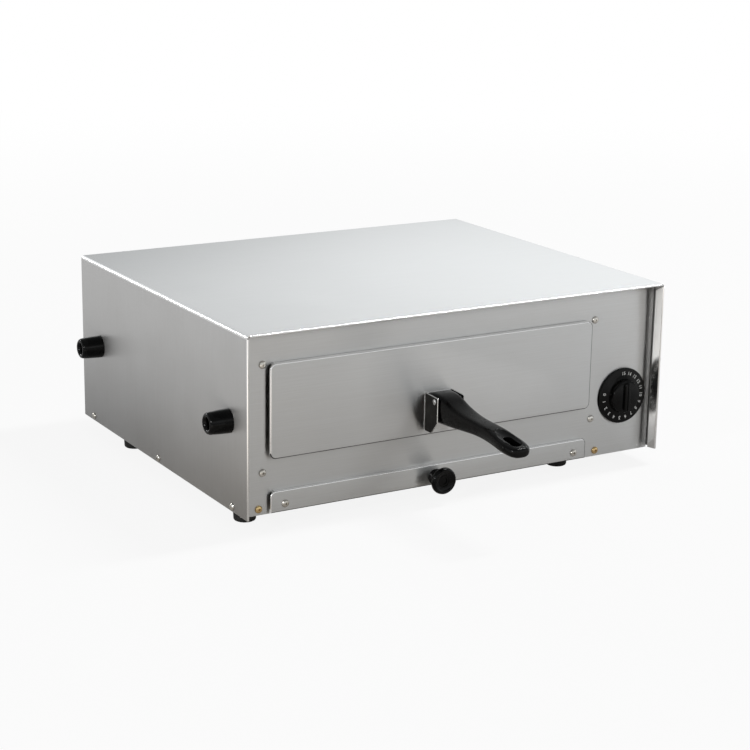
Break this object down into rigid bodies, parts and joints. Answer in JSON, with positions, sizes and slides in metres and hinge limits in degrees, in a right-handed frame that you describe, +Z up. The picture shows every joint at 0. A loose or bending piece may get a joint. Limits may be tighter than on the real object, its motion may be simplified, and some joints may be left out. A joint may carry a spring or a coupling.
{
  "type": "countertop pizza oven",
  "caption": "Low stainless countertop oven with a door plate and pan-type handle that pull out a wire rack, a sliding crumb tray and a timer dial.",
  "frame": {"origin": "bottom centre of the bounding box, on the surface the feet stand on", "axes": "+Z up, -Y towards the front where the handle stands out, +X to the right seen from the front"},
  "size_m": [0.516, 0.5268, 0.1895],
  "materials": {
    "stainless": "fine brushed",
    "liner": "aluminised sheet",
    "chrome": "chrome plated wire",
    "nickel": "nickel plated",
    "brass": "yellow zinc plated",
    "bakelite": "moulded gloss",
    "rubber": "matte",
    "sheath": "heat-darkened element sheath",
    "moulding": "ceramic and moulded parts",
    "lead": "glass-fibre sleeve"
  },
  "bodies": {
    "oven": {"outer_casing": "stainless", "front_panel": "stainless", "rear_panel": "stainless", "base_pan": "liner", "chamber_wrap": "liner", "chamber_back": "liner", "rack_rail_left": "stainless", "rack_rail_right": "stainless", "tray_guide_left": "liner", "tray_guide_right": "liner", "upper_element": "sheath", "lower_element": "sheath", "upper_element_strip": "liner", "lower_element_strip": "liner", "standoff_front_left": "bakelite", "standoff_front_right": "bakelite", "standoff_rear_left": "bakelite", "standoff_rear_right": "bakelite", "foot_front_left": "rubber", "foot_front_right": "rubber", "foot_rear_left": "rubber", "foot_rear_right": "rubber", "front_screw_top_left": "nickel", "front_screw_top_right": "nickel", "front_screw_low_left": "nickel", "front_screw_low_right": "nickel", "base_screw_left": "brass", "base_screw_right": "brass", "casing_screw_left_front": "nickel", "casing_screw_left_middle": "nickel", "casing_screw_left_rear": "nickel", "casing_screw_right_front": "nickel", "casing_screw_right_middle": "nickel", "casing_screw_right_rear": "nickel", "timer_body": "moulding", "divider_shield": "liner", "limit_thermostat": "moulding", "terminal_block": "moulding", "cord_gland": "bakelite", "lead_timer": "lead", "lead_thermostat": "lead", "lead_upper": "lead", "lead_lower": "lead", "lead_link": "lead"},
    "rack_drawer": {"door_panel": "stainless", "handle_bracket": "stainless", "handle": "bakelite", "handle_pin": "nickel", "wire_rack": "chrome", "rack_clip_left": "stainless", "rack_clip_right": "stainless"},
    "crumb_tray": {"tray_pan": "liner", "tray_front": "stainless", "tray_knob": "bakelite", "tray_knob_screw": "nickel", "tray_screw_left": "nickel", "tray_screw_right": "nickel"},
    "timer_dial": {"timer_knob": "bakelite", "timer_shaft": "nickel"}
  },
  "joints": [
    {"name": "rack_slide", "type": "slide", "parent": "oven", "child": "rack_drawer", "axis": [0, -1, 0], "range_m": [0, 0.28]},
    {"name": "tray_slide", "type": "slide", "parent": "oven", "child": "crumb_tray", "axis": [0, -1, 0], "range_m": [0, 0.28]},
    {"name": "timer_turn", "type": "hinge", "parent": "oven", "child": "timer_dial", "pos_m": [0.197, -0.11535, 0.0748], "axis": [0, 1, 0], "range_deg": [0, 280]}
  ]
}
